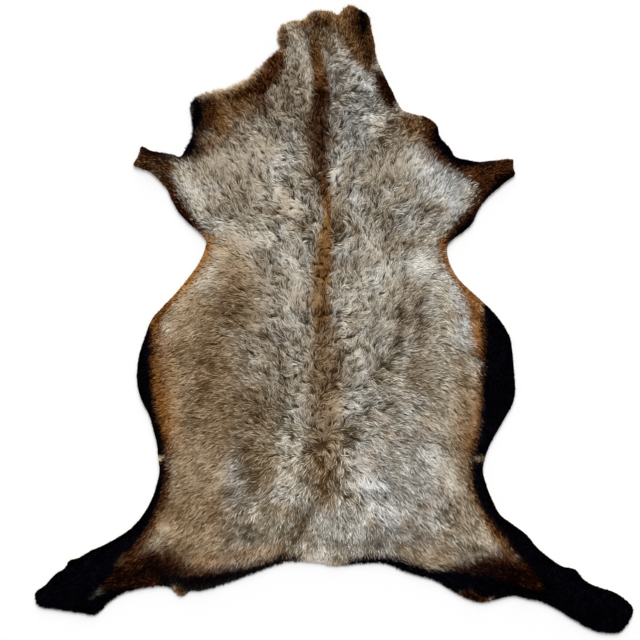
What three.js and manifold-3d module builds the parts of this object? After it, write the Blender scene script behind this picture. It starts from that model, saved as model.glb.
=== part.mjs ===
// A hair-on sheepskin rug: one whole hide laid flat, hair side up, with its neck towards +Y,
// two forelegs, two hind legs and a straight cut where the tail was.
// Millimetres, +Z up. The floor is z = 0. The origin lies under the line of the back, at mid-length.
import * as THREE from "three";
import { mergeVertices } from "three/addons/utils/BufferGeometryUtils.js";
import Module from "manifold-3d";

const wasm = await Module();
wasm.setup();

// Thickness of the skin, and how high the hair lies above it
const SKIN = 2;
const HAIR = {
  atEdge: 1, // right at the cut edge
  nearEdge: 1.5, // added once the edge has rolled over
  onBack: 7.5, // added over the back, where the coat is longest
  edgeRoll: 14, // width over which the edge rolls over
  backRoll: 75, // width over which the coat of the back rises
};

// Low lumps of the coat: one row for each wave, with its length, its heading and its height
const LUMPS = [
  { length: 62, heading: 20, height: 0.9 },
  { length: 47, heading: 78, height: 0.7 },
  { length: 54, heading: 140, height: 0.6 },
  { length: 90, heading: 105, height: 0.7 },
];

// Creases of the neck and the legs: a raised line from one point to another
const FOLD_AT_EDGE = 0.3; // share of a fold's rise that is left at the cut edge
const FOLDS = [
  { name: "left neck fold", fromX: -62, fromY: 420, toX: -66, toY: 345, rise: 4.5, width: 14 },
  { name: "left neck pleat", fromX: -38, fromY: 455, toX: -34, toY: 355, rise: 2.5, width: 13 },
  { name: "middle pleat", fromX: 4, fromY: 462, toX: 6, toY: 370, rise: 2.5, width: 12 },
  { name: "right neck pleat", fromX: 42, fromY: 470, toX: 50, toY: 350, rise: 3, width: 16 },
  { name: "left foreleg crease", fromX: -282, fromY: 247, toX: -205, toY: 222, rise: 2.5, width: 12 },
  { name: "right foreleg crease", fromX: 280, fromY: 231, toX: 205, toY: 212, rise: 2.5, width: 12 },
  { name: "left hock", fromX: -405, fromY: -400, toX: -300, toY: -360, rise: 2, width: 18 },
  { name: "right hock", fromX: 440, fromY: -438, toX: 310, toY: -385, rise: 2, width: 18 },
];

// Neck and shoulders, from the neck down to the forelegs: the rims on both sides of the back line
const SHOULDERS = [
  { y: 433, left: -68, right: 70 },
  { y: 417, left: -68, right: 74 },
  { y: 404, left: -66, right: 75 },
  { y: 398, left: -76, right: 76 },
  { y: 387, left: -87, right: 79 },
  { y: 372, left: -102, right: 86 },
  { y: 360, left: -114, right: 92 },
  { y: 348, left: -140, right: 98 },
  { y: 341, left: -164, right: 102 },
  { y: 335, left: -188, right: 104 },
  { y: 325, left: -200, right: 109 },
  { y: 315, left: -202, right: 116 },
  { y: 308, left: -200, right: 134 },
  { y: 304, left: -199, right: 152 },
  { y: 291, left: -198, right: 168 },
  { y: 275, left: -199, right: 174 },
  { y: 258, left: -208, right: 188 },
];

// Belly and flanks, from the forelegs down to the hind legs
const FLANKS = [
  { y: 161, left: -219, right: 228 },
  { y: 143, left: -202, right: 219 },
  { y: 129, left: -186, right: 203 },
  { y: 118, left: -178, right: 185 },
  { y: 109, left: -181, right: 182 },
  { y: 87, left: -191, right: 185 },
  { y: 63, left: -208, right: 199 },
  { y: 42, left: -224, right: 222 },
  { y: 21, left: -243, right: 246 },
  { y: 0, left: -260, right: 262 },
  { y: -26, left: -270, right: 277 },
  { y: -50, left: -278, right: 281 },
  { y: -86, left: -282, right: 284 },
  { y: -108, left: -279, right: 285 },
  { y: -126, left: -272, right: 281 },
  { y: -144, left: -263, right: 271 },
  { y: -165, left: -257, right: 259 },
  { y: -185, left: -252, right: 248 },
  { y: -206, left: -250, right: 240 },
  { y: -226, left: -248, right: 238 },
  { y: -246, left: -250, right: 244 },
  { y: -267, left: -257, right: 252 },
];

// Legs, from the root to the end: the two rims of each section, the front one towards the neck
const LEFT_FORELEG = [
  { frontX: -217, frontY: 245, backX: -229, backY: 179 },
  { frontX: -229, frontY: 248, backX: -236, backY: 195 },
  { frontX: -246, frontY: 251, backX: -247, backY: 208 },
  { frontX: -261, frontY: 254, backX: -261, backY: 221 },
  { frontX: -275, frontY: 260, backX: -287, backY: 233 },
];
const RIGHT_FORELEG = [
  { frontX: 195, frontY: 245, backX: 234, backY: 173 },
  { frontX: 213, frontY: 240, backX: 246, backY: 187 },
  { frontX: 233, frontY: 237, backX: 258, backY: 198 },
  { frontX: 254, frontY: 239, backX: 270, backY: 210 },
  { frontX: 282, frontY: 240, backX: 284, backY: 220 },
];
const LEFT_HIND_LEG = [
  { frontX: -267, frontY: -287, backX: -203, backY: -405 },
  { frontX: -284, frontY: -308, backX: -216, backY: -412 },
  { frontX: -305, frontY: -320, backX: -233, backY: -399 },
  { frontX: -329, frontY: -333, backX: -255, backY: -398 },
  { frontX: -353, frontY: -347, backX: -276, backY: -401 },
  { frontX: -368, frontY: -356, backX: -302, backY: -408 },
  { frontX: -383, frontY: -361, backX: -326, backY: -423 },
  { frontX: -390, frontY: -372, backX: -345, backY: -440 },
  { frontX: -405, frontY: -382, backX: -371, backY: -437 },
  { frontX: -420, frontY: -398, backX: -400, backY: -433 },
  { frontX: -434, frontY: -409, backX: -430, backY: -426 },
];
const RIGHT_HIND_LEG = [
  { frontX: 264, frontY: -291, backX: 195, backY: -407 },
  { frontX: 281, frontY: -306, backX: 215, backY: -417 },
  { frontX: 300, frontY: -320, backX: 236, backY: -422 },
  { frontX: 318, frontY: -341, backX: 260, backY: -417 },
  { frontX: 336, frontY: -359, backX: 281, backY: -412 },
  { frontX: 353, frontY: -371, backX: 303, backY: -417 },
  { frontX: 374, frontY: -376, backX: 326, backY: -422 },
  { frontX: 389, frontY: -390, backX: 347, backY: -432 },
  { frontX: 411, frontY: -401, backX: 371, backY: -447 },
  { frontX: 431, frontY: -407, backX: 395, backY: -461 },
  { frontX: 450, frontY: -419, backX: 419, backY: -468 },
  { frontX: 462, frontY: -434, backX: 443, backY: -466 },
];

// The cut across the neck and the one across the tail, from left to right
const NECK_CUT = [
  { x: -60, y: 444 },
  { x: -46, y: 448 },
  { x: -32, y: 449 },
  { x: -18, y: 462 },
  { x: 8, y: 462 },
  { x: 20, y: 456 },
  { x: 29, y: 467 },
  { x: 39, y: 471 },
  { x: 50, y: 466 },
  { x: 64, y: 457 },
];
const TAIL_CUT = [
  { x: -185, y: -404 },
  { x: -158, y: -396 },
  { x: -113, y: -380 },
  { x: -74, y: -365 },
  { x: -53, y: -360 },
  { x: -8, y: -362 },
  { x: 11, y: -366 },
  { x: 69, y: -362 },
  { x: 93, y: -365 },
  { x: 128, y: -380 },
  { x: 167, y: -392 },
];

// Locks of hair that reach past the cut edge, one every pitch: their length past it, width and height
const LOCKS = {
  furry: { pitch: 13, reach: 6, width: 12, height: 3 },
  sleek: { pitch: 27, reach: 3, width: 9, height: 2.6 },
  rootDepth: 4,
  lean: 0.33, // how far a lock's tip leans sideways, as a share of its reach
  shortest: 0.45, // the shortest lock, as a share of the longest
  shuffle: 2.4, // step that makes each lock's length differ from the last
};

const RIM_STEP = 8; // length of the straight pieces that make up the rim
const COAT_STEP = 16.5; // spacing of the points that shape the coat

// The rim, clockwise from the neck: each stretch is its points and the kind of its locks
function rimStretches() {
  const side = (rows, name) => rows.map((row) => [row[name], row.y]);
  const front = (leg) => leg.map((row) => [row.frontX, row.frontY]);
  const back = (leg) => leg.map((row) => [row.backX, row.backY]);
  const cut = (rows) => rows.map((row) => [row.x, row.y]);
  return [
    { locks: "furry", points: cut(NECK_CUT) },
    { locks: "sleek", points: side(SHOULDERS, "right") },
    { locks: "sleek", points: front(RIGHT_FORELEG) },
    { locks: "sleek", points: back(RIGHT_FORELEG).reverse() },
    { locks: "sleek", points: side(FLANKS, "right") },
    { locks: "sleek", points: front(RIGHT_HIND_LEG) },
    { locks: "furry", points: back(RIGHT_HIND_LEG).reverse() },
    { locks: "furry", points: cut(TAIL_CUT).reverse() },
    { locks: "furry", points: back(LEFT_HIND_LEG) },
    { locks: "sleek", points: front(LEFT_HIND_LEG).reverse() },
    { locks: "sleek", points: side(FLANKS, "left").reverse() },
    { locks: "sleek", points: back(LEFT_FORELEG) },
    { locks: "sleek", points: front(LEFT_FORELEG).reverse() },
    { locks: "furry", points: side(SHOULDERS, "left").reverse() },
  ];
}

// One smooth closed curve through every rim point, and the kind of lock at each of them
const stretches = rimStretches();
const rimPoints = stretches.flatMap((s) => s.points.map(([x, y]) => new THREE.Vector3(x, y, 0)));
const rimKinds = stretches.flatMap((s) => s.points.map(() => s.locks));
const rimCurve = new THREE.CatmullRomCurve3(rimPoints, true, "centripetal");

// The rim as a polygon whose sides are about RIM_STEP long
function rimPolygon() {
  const polygon = [];
  rimPoints.forEach((point, i) => {
    const next = rimPoints[(i + 1) % rimPoints.length];
    const steps = Math.max(1, Math.round(point.distanceTo(next) / RIM_STEP));
    for (let k = 0; k < steps; k++) {
      polygon.push(rimCurve.getPoint((i + k / steps) / rimPoints.length));
    }
  });
  return polygon;
}
const rim = rimPolygon();

// Whether a place is on the hide, and how far it is from the rim
function insideRim(x, y) {
  let inside = false;
  rim.forEach((a, i) => {
    const b = rim[(i + 1) % rim.length];
    const crosses = a.y > y !== b.y > y && x < a.x + ((y - a.y) / (b.y - a.y)) * (b.x - a.x);
    if (crosses) inside = !inside;
  });
  return inside;
}

function distanceToLine(x, y, ax, ay, bx, by) {
  const along = ((x - ax) * (bx - ax) + (y - ay) * (by - ay)) / ((bx - ax) ** 2 + (by - ay) ** 2);
  const t = THREE.MathUtils.clamp(along, 0, 1);
  return Math.hypot(x - ax - t * (bx - ax), y - ay - t * (by - ay));
}

function depthFromRim(x, y) {
  if (!insideRim(x, y)) return 0;
  return Math.min(
    ...rim.map((a, i) => {
      const b = rim[(i + 1) % rim.length];
      return distanceToLine(x, y, a.x, a.y, b.x, b.y);
    })
  );
}

// Height of the hair's surface above the floor
function coatHeight(x, y) {
  const depth = depthFromRim(x, y);
  const edgeRise = THREE.MathUtils.smoothstep(depth, 0, HAIR.edgeRoll);
  const backRise = THREE.MathUtils.smoothstep(depth, 0, HAIR.backRoll);
  let height = SKIN + HAIR.atEdge + HAIR.nearEdge * edgeRise + HAIR.onBack * backRise;
  for (const wave of LUMPS) {
    const heading = THREE.MathUtils.degToRad(wave.heading);
    const along = x * Math.cos(heading) + y * Math.sin(heading);
    height += wave.height * edgeRise * Math.sin((2 * Math.PI * along) / wave.length);
  }
  for (const fold of FOLDS) {
    const away = distanceToLine(x, y, fold.fromX, fold.fromY, fold.toX, fold.toY);
    const share = THREE.MathUtils.lerp(FOLD_AT_EDGE, 1, edgeRise);
    height += fold.rise * share * Math.exp(-((away / fold.width) ** 2));
  }
  return height;
}

// A three.js geometry as a manifold-3d solid, and back
function solidOf(geometry) {
  const bare = geometry.clone();
  bare.deleteAttribute("normal");
  bare.deleteAttribute("uv");
  const merged = mergeVertices(bare);
  const mesh = new wasm.Mesh({
    numProp: 3,
    vertProperties: new Float32Array(merged.attributes.position.array),
    triVerts: new Uint32Array(merged.index.array),
  });
  return new wasm.Manifold(mesh);
}

function geometryOf(solid) {
  const mesh = solid.getMesh();
  const geometry = new THREE.BufferGeometry();
  geometry.setAttribute("position", new THREE.BufferAttribute(mesh.vertProperties, mesh.numProp));
  geometry.setIndex(new THREE.BufferAttribute(mesh.triVerts, 1));
  geometry.computeVertexNormals();
  return geometry;
}

// The whole outline as an upright block, taller than any hair
function outlineBlock() {
  const tallest = 60;
  const shape = new THREE.Shape(rim.map((p) => new THREE.Vector2(p.x, p.y)));
  return solidOf(new THREE.ExtrudeGeometry(shape, { depth: tallest, bevelEnabled: false }));
}

// A block under the coat's surface, wider than the hide, that the outline is cut from
function coatBlock() {
  const margin = COAT_STEP;
  const box = new THREE.Box3().setFromPoints(rim);
  const size = box.getSize(new THREE.Vector3()).addScalar(2 * margin);
  const middle = box.getCenter(new THREE.Vector3());
  const across = Math.ceil(size.x / COAT_STEP);
  const along = Math.ceil(size.y / COAT_STEP);
  const below = -10;
  const block = new THREE.BoxGeometry(size.x, size.y, 1, across, along, 1);
  block.translate(middle.x, middle.y, 0);
  const place = block.attributes.position;
  for (let i = 0; i < place.count; i++) {
    const onTop = place.getZ(i) > 0;
    place.setZ(i, onTop ? coatHeight(place.getX(i), place.getY(i)) : below);
  }
  return solidOf(block);
}

// One lock: three-sided, flat on the floor, rooted inside the rim and drawn out to a point
function lock(place, outwards, size, reach) {
  const sideways = new THREE.Vector3(-outwards.y, outwards.x, 0);
  const root = place.clone().addScaledVector(outwards, -LOCKS.rootDepth);
  const corners = [
    root.clone().addScaledVector(sideways, size.width / 2),
    root.clone().addScaledVector(sideways, -size.width / 2),
    root.clone().setZ(size.height),
    place.clone().addScaledVector(outwards, reach).addScaledVector(sideways, reach * LOCKS.lean),
  ];
  const geometry = new THREE.BufferGeometry().setFromPoints(corners);
  geometry.setIndex([0, 3, 1, 1, 3, 2, 2, 3, 0, 0, 1, 2]);
  return solidOf(geometry);
}

// All locks, one every pitch along the rim, each a little longer or shorter than the last
function rimLocks() {
  const locks = [];
  let sinceLast = 0;
  rim.forEach((place, i) => {
    const before = rim[(i + rim.length - 1) % rim.length];
    const after = rim[(i + 1) % rim.length];
    const nearest = rimPoints.reduce((best, p, k) =>
      p.distanceTo(place) < rimPoints[best].distanceTo(place) ? k : best, 0);
    const size = LOCKS[rimKinds[nearest]];
    sinceLast += place.distanceTo(before);
    if (sinceLast < size.pitch) return;
    sinceLast = 0;
    const along = after.clone().sub(before).normalize();
    const outwards = new THREE.Vector3(-along.y, along.x, 0);
    const uneven = (1 + Math.sin(LOCKS.shuffle * locks.length)) / 2;
    const reach = size.reach * THREE.MathUtils.lerp(LOCKS.shortest, 1, uneven);
    locks.push(lock(place, outwards, size, reach));
  });
  return locks;
}

// The hide is one solid: skin and coat, with the locks fused into its rim
function hideSolid() {
  const slab = outlineBlock().intersect(coatBlock());
  return rimLocks().reduce((made, one) => made.add(one), slab);
}

const hide = new THREE.Mesh(
  geometryOf(hideSolid()),
  new THREE.MeshStandardMaterial({ color: 0x9c8f80, roughness: 0.9, metalness: 0 })
);
hide.name = "hide";

const rug = new THREE.Group();
rug.name = "sheepskin_rug";
rug.add(hide);

export default rug;
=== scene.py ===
import math
import bpy
import bmesh
import numpy as np
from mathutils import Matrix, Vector, kdtree
from mathutils.geometry import delaunay_2d_cdt


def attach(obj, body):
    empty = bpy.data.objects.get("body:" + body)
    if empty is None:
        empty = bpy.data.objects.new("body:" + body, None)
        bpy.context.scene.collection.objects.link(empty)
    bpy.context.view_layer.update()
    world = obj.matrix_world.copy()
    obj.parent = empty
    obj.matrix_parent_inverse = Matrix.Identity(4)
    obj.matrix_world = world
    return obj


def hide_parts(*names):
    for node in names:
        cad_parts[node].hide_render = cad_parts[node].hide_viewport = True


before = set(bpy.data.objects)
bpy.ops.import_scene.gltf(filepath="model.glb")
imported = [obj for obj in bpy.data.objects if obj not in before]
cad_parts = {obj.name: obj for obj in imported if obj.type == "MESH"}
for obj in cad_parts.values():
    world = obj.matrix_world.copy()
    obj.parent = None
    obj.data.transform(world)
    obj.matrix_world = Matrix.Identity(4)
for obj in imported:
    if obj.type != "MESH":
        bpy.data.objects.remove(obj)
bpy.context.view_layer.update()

mm = 0.001

# All tables are in millimetres, seen from above with the neck at the top (+Y)

# outline of the hide: the cut edge, and how far the hair reaches past it
shoulderEdge = [  # y, left, right
    (433, -68, 70), (417, -68, 74), (404, -66, 75), (398, -76, 76), (387, -87, 79), (372, -102, 86),
    (360, -114, 92), (348, -140, 98), (341, -164, 102), (335, -188, 104), (325, -200, 109), (315, -202, 116),
    (308, -200, 134), (304, -199, 152), (291, -198, 168), (275, -199, 172), (258, -208, 187),
]
flankEdge = [  # y, left, right
    (161, -219, 228), (143, -202, 219), (129, -186, 203), (118, -178, 188), (109, -179, 183), (87, -188, 186),
    (63, -205, 199), (42, -222, 220), (21, -242, 243), (0, -260, 262), (-26, -270, 277), (-50, -278, 281),
    (-86, -282, 284), (-108, -279, 285), (-126, -272, 281), (-144, -263, 271), (-165, -257, 259),
    (-185, -252, 248), (-206, -250, 240), (-226, -248, 236.5), (-246, -252, 241.5), (-267, -259, 249.5),
]
leftForeleg = [  # front x, front y, back x, back y
    (-217, 245, -229, 179), (-229, 248, -236, 195), (-246, 251, -247, 208), (-261, 254, -261, 221),
    (-275, 260, -287, 233),
]
rightForeleg = [
    (195, 245, 234, 172), (213, 240, 246, 186), (233, 237, 259, 197), (254, 239, 272, 208), (282, 240, 285, 219),
]
leftHindLeg = [
    (-269, -286, -203, -405), (-285, -307, -216, -412), (-303, -321, -233, -399), (-327, -335, -255, -398),
    (-353, -347, -276, -401), (-368, -356, -302, -408), (-383, -361, -326, -423), (-390, -372, -345, -440),
    (-405, -382, -371, -437), (-420, -398, -400, -433), (-434, -409, -430, -426),
]
rightHindLeg = [
    (262.5, -291.5, 195, -407), (281, -306, 215, -417), (300, -320, 236, -422), (318, -341, 260, -417),
    (337, -357, 281, -412), (355, -369, 303, -417), (375, -374, 326, -422), (389, -390, 347, -432),
    (411, -401, 371, -447), (431, -407, 395, -461), (450, -419, 419, -468), (462, -434, 443, -466),
]
leftPaw = [(-282, 242), (-278, 251)]
rightPaw = [(282, 234), (282, 227)]
neckCut = [
    (-60, 444), (-46, 448), (-32, 449), (-18, 462), (8, 462), (20, 456), (29, 467), (39, 471), (50, 466), (64, 457),
]
tailCut = [
    (-185, -404), (-158, -396), (-113, -380), (-74, -365), (-53, -360), (-8, -362), (11, -366), (69, -362),
    (93, -364), (128, -378), (167, -390),
]


def front(leg):
    return [row[:2] for row in leg]


def back(leg):
    return [row[2:] for row in leg]


stretches = [  # clockwise from the neck: how far the hair reaches past the edge, and the edge's points
    (4.5, neckCut),
    (1.8, [(right, y) for y, left, right in shoulderEdge]),
    (1.5, front(rightForeleg) + rightPaw),
    (1.5, back(rightForeleg)[::-1]),
    (1.2, [(right, y) for y, left, right in flankEdge]),
    (1.2, front(rightHindLeg)),
    (3.5, back(rightHindLeg)[::-1]),
    (5.0, tailCut[::-1]),
    (4.0, back(leftHindLeg)),
    (1.2, front(leftHindLeg)[::-1]),
    (1.2, [(left, y) for y, left, right in flankEdge][::-1]),
    (1.5, back(leftForeleg) + leftPaw),
    (1.5, front(leftForeleg)[::-1]),
    (3.5, [(left, y) for y, left, right in shoulderEdge if y < 330][::-1]),
    (7.5, [(left, y) for y, left, right in shoulderEdge if y > 330][::-1]),
]


def walkEdge(step):
    # one smooth closed curve through the edge's points, as pieces of about this length
    given = np.array([p for reach, points in stretches for p in points], float)
    reaches = np.array([reach for reach, points in stretches for p in points], float)
    before, after, beyond = np.roll(given, 1, 0), np.roll(given, -1, 0), np.roll(given, -2, 0)
    d0 = np.sqrt(np.linalg.norm(given - before, axis=1))[:, None]
    d1 = np.sqrt(np.linalg.norm(after - given, axis=1))[:, None]
    d2 = np.sqrt(np.linalg.norm(beyond - after, axis=1))[:, None]
    slopeA = ((given - before) / d0 - (after - before) / (d0 + d1) + (after - given) / d1) * d1
    slopeB = ((after - given) / d1 - (beyond - given) / (d1 + d2) + (beyond - after) / d2) * d1
    places, reachAt = [], []
    for i in range(len(given)):
        count = max(1, round(float(np.linalg.norm(after[i] - given[i])) / step))
        t = (np.arange(count) / count)[:, None]
        places.append((2 * t**3 - 3 * t**2 + 1) * given[i] + (t**3 - 2 * t**2 + t) * slopeA[i]
                      + (3 * t**2 - 2 * t**3) * after[i] + (t**3 - t**2) * slopeB[i])
        nextReach = reaches[(i + 1) % len(given)]
        reachAt.append(reaches[i] + (nextReach - reaches[i]) * t[:, 0])
    return np.concatenate(places), np.concatenate(reachAt)


# the maps over the hide are drawn on this grid
gridStep = 2.0
gridX = np.arange(-456.0, 486.0, gridStep)
gridY = np.arange(-496.0, 498.0, gridStep)
mapX, mapY = np.meshgrid(gridX, gridY)


def readMap(values, x, y):
    # value of a map at any places, blended from the four grid points around each
    fx = np.clip((x - gridX[0]) / gridStep, 0, len(gridX) - 1.001)
    fy = np.clip((y - gridY[0]) / gridStep, 0, len(gridY) - 1.001)
    ix, iy = fx.astype(int), fy.astype(int)
    tx, ty = fx - ix, fy - iy
    low = values[iy, ix] * (1 - tx) + values[iy, ix + 1] * tx
    high = values[iy + 1, ix] * (1 - tx) + values[iy + 1, ix + 1] * tx
    return low * (1 - ty) + high * ty


def ease(value, low, high):
    t = np.clip((value - low) / (high - low), 0, 1)
    return t * t * (3 - 2 * t)


def lerp(pair, share):
    return pair[0] + (pair[1] - pair[0]) * share


def mottle(size, seed):
    # soft random patches of about this size over the hide, from -1 to 1
    side = 256
    cells = np.random.default_rng(seed).uniform(-1, 1, (side, side))
    u, v = mapX / size + 700.3, mapY / size + 700.7
    iu, iv = np.floor(u).astype(int), np.floor(v).astype(int)
    tu, tv = ease(u - iu, 0, 1), ease(v - iv, 0, 1)
    left, right, low, high = iu % side, (iu + 1) % side, iv % side, (iv + 1) % side
    below = cells[low, left] * (1 - tu) + cells[low, right] * tu
    above = cells[high, left] * (1 - tu) + cells[high, right] * tu
    return below * (1 - tv) + above * tv


edge, edgeReach = walkEdge(gridStep)


def mapEdge():
    # depth inside the cut edge (negative outside), the way out and the hair's reach there
    ax, ay = edge[:, 0], edge[:, 1]
    bx, by = np.roll(ax, -1), np.roll(ay, -1)
    inside = np.zeros(mapX.shape, bool)
    for row, y in enumerate(gridY):
        crossing = (ay > y) != (by > y)
        cuts = np.sort(ax[crossing] + (y - ay[crossing]) / (by - ay)[crossing] * (bx - ax)[crossing])
        inside[row] = np.searchsorted(cuts, gridX) % 2 == 1
    tree = kdtree.KDTree(len(edge))
    for i, (x, y) in enumerate(edge):
        tree.insert((x, y, 0), i)
    tree.balance()
    found = [tree.find((x, y, 0))[1:] for x, y in zip(mapX.ravel(), mapY.ravel())]
    nearest = np.array([f[0] for f in found]).reshape(mapX.shape)
    away = np.array([f[1] for f in found]).reshape(mapX.shape)
    along = np.roll(edge, -2, 0) - np.roll(edge, 2, 0)
    along /= np.linalg.norm(along, axis=1)[:, None]
    outX, outY = -along[:, 1], along[:, 0]
    return np.where(inside, away, -away), outX[nearest], outY[nearest], edgeReach[nearest]


depthMap, outXMap, outYMap, reachMap = mapEdge()
print("outline of the hide:", len(edge), "points")

folds = [  # from x, from y, to x, to y, rise, width
    (-62, 420, -66, 345, 4.5, 14), (-38, 455, -34, 355, 2.5, 13), (4, 462, 6, 370, 2.5, 12),
    (42, 470, 50, 350, 3.0, 16), (-282, 247, -205, 222, 2.5, 12), (280, 231, 205, 212, 2.5, 12),
    (-405, -400, -300, -360, 2.0, 18), (440, -438, 310, -385, 2.0, 18),
]
lumps = [(62, 20, 0.9), (47, 78, 0.7), (54, 140, 0.6), (90, 105, 0.7)]  # length, heading, height
relief = {
    "pile": (1.0, 1.5, 7.5),  # at the cut edge, added over the edge zone, and added over the back zone
    "edgeZone": 14,
    "backZone": 75,
    "foldAtEdge": 0.3,  # share of a fold's rise that is left at the cut edge
    "foldInSkin": 0.6,  # share of it that lifts the skin: the coat has the rest
}


def awayFromLine(x, y, ax, ay, bx, by):
    span = max((bx - ax) ** 2 + (by - ay) ** 2, 1e-6)
    t = np.clip(((x - ax) * (bx - ax) + (y - ay) * (by - ay)) / span, 0, 1)
    return np.hypot(x - ax - t * (bx - ax), y - ay - t * (by - ay)), t


def mapHeights():
    # how far the skin is lifted, and how high the coat stands above it
    edgeRise, backRise = ease(depthMap, 0, relief["edgeZone"]), ease(depthMap, 0, relief["backZone"])
    lifted = np.zeros(mapX.shape)
    for ax, ay, bx, by, rise, width in folds:
        away = awayFromLine(mapX, mapY, ax, ay, bx, by)[0]
        lifted += rise * lerp((relief["foldAtEdge"], 1.0), edgeRise) * np.exp(-((away / width) ** 2))
    lowest, nearEdge, onBack = relief["pile"]
    pile = lowest + nearEdge * edgeRise + onBack * backRise
    for length, heading, height in lumps:
        angle = math.radians(heading)
        across = mapX * math.cos(angle) + mapY * math.sin(angle)
        pile += height * edgeRise * np.sin(2 * math.pi * across / length)
    inSkin = relief["foldInSkin"]
    return lifted * inSkin, np.maximum(pile + lifted * (1 - inSkin), lowest)


liftMap, pileMap = mapHeights()

# where the tips of the hair point, as a compass heading: 0 neck, 90 right, 180 tail, 270 left
hairLie = [  # x, y, heading
    # neck
    (-55, 430, 345), (-40, 395, 350), (-60, 380, 345), (-28, 355, 290), (-60, 340, 335), (-110, 335, 318),
    (-150, 312, 312), (-185, 305, 318), (-120, 282, 318), (-60, 295, 340), (-24, 305, 345), (-15, 450, 350),
    (-12, 400, 350), (-6, 360, 5), (-8, 290, 0), (-6, 230, 0), (15, 430, 15), (28, 400, 75), (38, 375, 82),
    (55, 430, 350), (60, 400, 10), (62, 360, 70), (85, 340, 68), (85, 300, 72), (40, 330, 85), (30, 300, 60),
    (110, 300, 60), (145, 290, 50), (170, 280, 60),
    # shoulders and forelegs
    (-100, 250, 325), (-60, 240, 330), (-150, 230, 330), (-200, 210, 328), (-180, 180, 330), (-130, 180, 335),
    (-90, 180, 300), (-50, 172, 310), (-28, 200, 340), (-215, 170, 318), (-240, 225, 290), (-275, 243, 285),
    (30, 255, 28), (80, 240, 22), (130, 240, 25), (150, 200, 32), (185, 195, 40), (120, 150, 45), (170, 145, 50),
    (60, 180, 20), (25, 200, 25), (215, 180, 50), (245, 215, 75), (275, 230, 85), (60, 130, 25), (20, 130, 35),
    # across the waist
    (-150, 132, 300), (-180, 122, 285), (-110, 120, 312), (-60, 115, 325), (-150, 92, 288), (-165, 65, 265),
    (-180, 45, 245), (-130, 50, 290), (-90, 60, 322), (-50, 60, 335), (-25, 60, 340), (-210, 42, 235),
    (120, 110, 45), (150, 95, 60), (165, 78, 78), (185, 60, 105), (195, 30, 125), (140, 60, 60), (100, 60, 35),
    (60, 60, 25), (25, 60, 25), (205, 60, 125),
    # flanks and belly
    (-230, 0, 238), (-200, -20, 243), (-150, -20, 262), (-112, -30, 305), (-75, -30, 325), (-40, -30, 335),
    (-205, -60, 247), (-240, -80, 258), (-180, -100, 252), (-140, -100, 285), (-100, -100, 305), (-60, -100, 320),
    (-30, -100, 325), (-215, -150, 252), (-170, -160, 250), (-130, -160, 268), (-90, -160, 300), (-50, -180, 300),
    (-20, -160, 330), (-268, -90, 255), (-250, -180, 245),
    (230, 0, 140), (205, -20, 130), (150, -10, 60), (110, -20, 45), (70, -30, 35), (30, -40, 38), (8, -40, 42),
    (210, -60, 120), (170, -60, 95), (130, -80, 85), (90, -95, 70), (55, -60, 15), (60, -110, 80), (25, -120, 60),
    (110, -120, 92), (150, -120, 120), (200, -120, 118), (60, -158, 118), (110, -150, 105), (160, -160, 125),
    (200, -170, 128), (255, -60, 135), (260, -110, 150), (10, -150, 20), (25, -175, 130),
    # hips, rump and hind legs
    (-230, -230, 238), (-200, -240, 238), (-150, -240, 240), (-100, -240, 240), (-62, -235, 235), (-25, -240, 205),
    (-250, -310, 226), (-200, -310, 226), (-150, -320, 222), (-100, -320, 214), (-50, -315, 198), (-10, -310, 184),
    (-230, -360, 222), (-180, -375, 216), (-90, -355, 210), (-30, -350, 190), (0, -230, 190), (-300, -370, 246),
    (-350, -395, 250), (-410, -412, 252),
    (55, -205, 122), (90, -230, 126), (150, -230, 134), (190, -220, 138), (60, -260, 135), (110, -290, 138),
    (150, -290, 136), (200, -300, 140), (240, -320, 146), (35, -300, 166), (20, -345, 178), (70, -340, 168),
    (125, -345, 140), (180, -365, 128), (235, -375, 125), (300, -385, 122), (350, -400, 120), (420, -435, 118),
    (235, -245, 150), (260, -290, 140),
]


def mapLie():
    # one direction for every place, blended from the headings near it, or from all where none is near
    near, far, farWeight = 17.0, 30.0, 1e-9
    lieX, lieY, total = np.zeros((3, *mapX.shape))
    for x, y, heading in hairLie:
        away = (mapX - x) ** 2 + (mapY - y) ** 2
        weight = np.exp(-away / (2 * near**2)) + farWeight / (1 + away / far**2)
        lieX += weight * math.sin(math.radians(heading))
        lieY += weight * math.cos(math.radians(heading))
        total += weight
    return lieX / total, lieY / total


lieXMap, lieYMap = mapLie()

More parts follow.
